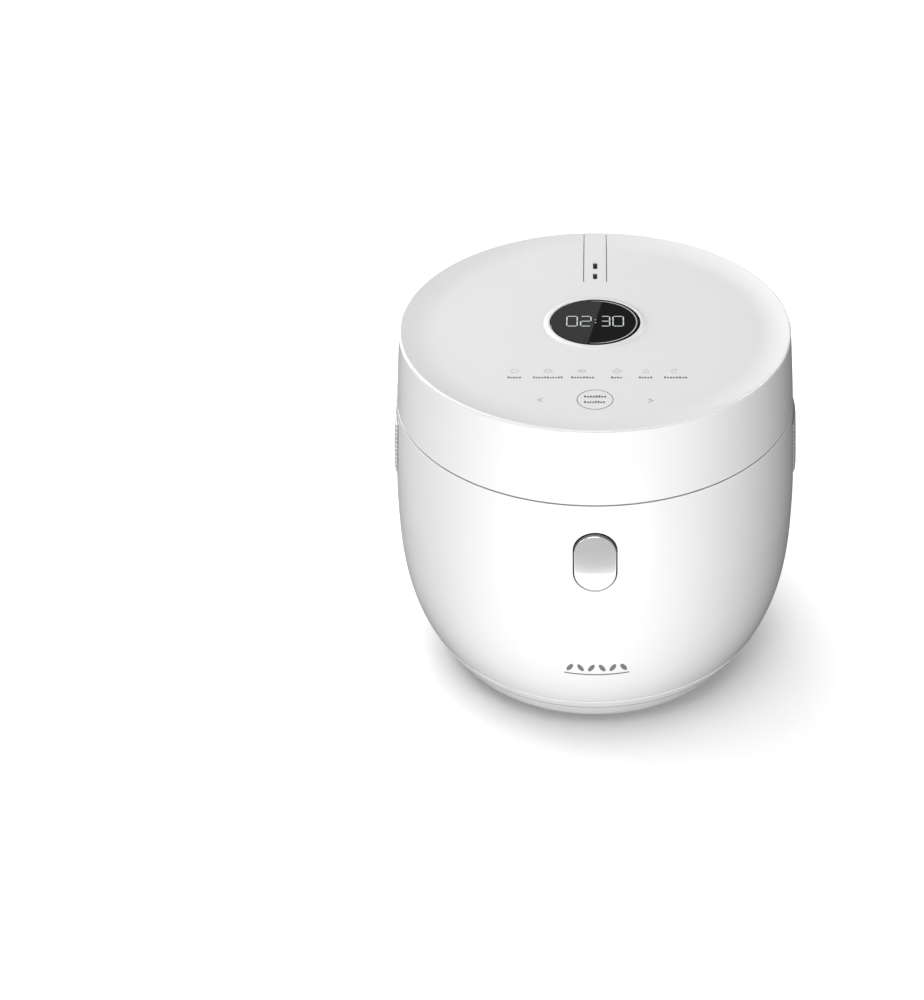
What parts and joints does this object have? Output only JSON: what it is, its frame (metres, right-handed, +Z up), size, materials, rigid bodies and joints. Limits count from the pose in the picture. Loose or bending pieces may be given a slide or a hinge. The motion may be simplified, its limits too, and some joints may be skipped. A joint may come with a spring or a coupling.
{
  "type": "rice cooker",
  "caption": "Round white rice cooker with a hinged lid, digital display, front release button, lift-off steam vent, non-stick pot and heating plate.",
  "frame": {"origin": "on the ground, under the centre of the closed cooker's bounding box; the turned body's axis stands 4.5 mm in front of it, at y = -0.0045, because only the hinge sticks out behind", "axes": "+Z up, +Y from the release button at the front to the hinge at the back, +X to the user's right when facing the back"},
  "size_m": [0.257, 0.265, 0.2369],
  "materials": {
    "shell_white": "smooth glossy white moulding",
    "cover_white": "satin white moulding",
    "collar_grey": "satin light grey moulding",
    "black_plastic": "fine-textured black moulding",
    "display_glass": "polished black window",
    "button_silver": "satin silver coating",
    "stainless_steel": "bright drawn and pressed steel",
    "pot_coating": "speckled dark non-stick coating",
    "aluminium": "satin spun and cast aluminium",
    "silicone": "translucent white silicone rubber",
    "foot_rubber": "dull black rubber",
    "contact_brass": "plated contact metal",
    "circuit_board": "green solder mask",
    "wire_sleeve": "braided heat-resistant sleeve"
  },
  "bodies": {
    "root": {"outer_shell": "shell_white", "hinge_cover": "shell_white", "base_cover": "cover_white", "side_grip_left": "cover_white", "side_grip_right": "cover_white", "upper_collar": "collar_grey", "power_inlet": "black_plastic", "board_transformer": "black_plastic", "board_relay": "black_plastic", "rice_basket": "stainless_steel", "hinge_bracket": "stainless_steel", "hinge_pin": "stainless_steel", "hinge_spring_left": "stainless_steel", "hinge_spring_right": "stainless_steel", "button_spring_left": "stainless_steel", "button_spring_right": "stainless_steel", "latch_bracket": "stainless_steel", "latch_pin": "stainless_steel", "sensor_spring": "stainless_steel", "sensor_bracket": "stainless_steel", "heating_tube": "stainless_steel", "thermal_fuse": "stainless_steel", "base_screw_1": "stainless_steel", "base_screw_2": "stainless_steel", "base_screw_3": "stainless_steel", "base_screw_4": "stainless_steel", "plate_screw_1": "stainless_steel", "plate_screw_2": "stainless_steel", "plate_screw_3": "stainless_steel", "inner_pot": "pot_coating", "heating_plate": "aluminium", "pot_well": "aluminium", "foot_front_left": "foot_rubber", "foot_front_right": "foot_rubber", "foot_rear_left": "foot_rubber", "foot_rear_right": "foot_rubber", "inlet_pin_live": "contact_brass", "inlet_pin_neutral": "contact_brass", "inlet_pin_earth": "contact_brass", "power_board": "circuit_board", "harness_body": "wire_sleeve"},
    "lid": {"lid_ring": "shell_white", "lid_top_panel": "shell_white", "lid_frame": "collar_grey", "latch_strike": "stainless_steel", "inner_lid": "aluminium", "lid_gasket": "silicone", "inner_lid_grommet": "silicone", "lid_sensor": "aluminium", "display_window": "display_glass", "display_board": "circuit_board", "touch_board": "circuit_board", "harness_lid": "wire_sleeve", "steam_seal": "silicone"},
    "steam_vent": {"steam_vent_cap": "shell_white", "steam_cup": "cover_white"},
    "button": {"release_button": "button_silver"},
    "latch": {"latch_lever": "collar_grey"},
    "sensor": {"sensor_button": "aluminium"}
  },
  "joints": [
    {"name": "lid_hinge", "type": "hinge", "parent": "root", "child": "lid", "pos_m": [0, 0.1255, 0.186], "axis": [-1, 0, 0], "range_deg": [0, 85]},
    {"name": "button_press", "type": "slide", "parent": "root", "child": "button", "axis": [0, 1, 0], "range_m": [0, 0.003], "stiffness_N_per_m": 400, "springref_m": -0.003, "deforming": ["button_spring_left", "button_spring_right"]},
    {"name": "latch_tilt", "type": "hinge", "parent": "root", "child": "latch", "pos_m": [0, -0.1165, 0.168], "axis": [1, 0, 0], "range_deg": [0, 9.2]},
    {"name": "sensor_press", "type": "slide", "parent": "root", "child": "sensor", "axis": [0, 0, 1], "range_m": [-0.002, 0], "stiffness_N_per_m": 400, "springref_m": 0.003, "deforming": ["sensor_spring"]},
    {"name": "steam_vent_lift", "type": "slide", "parent": "lid", "child": "steam_vent", "axis": [0, 0, 1], "range_m": [0, 0.045]}
  ],
  "couplings": [
    {"joint": "latch_tilt", "follows": "button_press", "rad_per_m": 53.333}
  ]
}
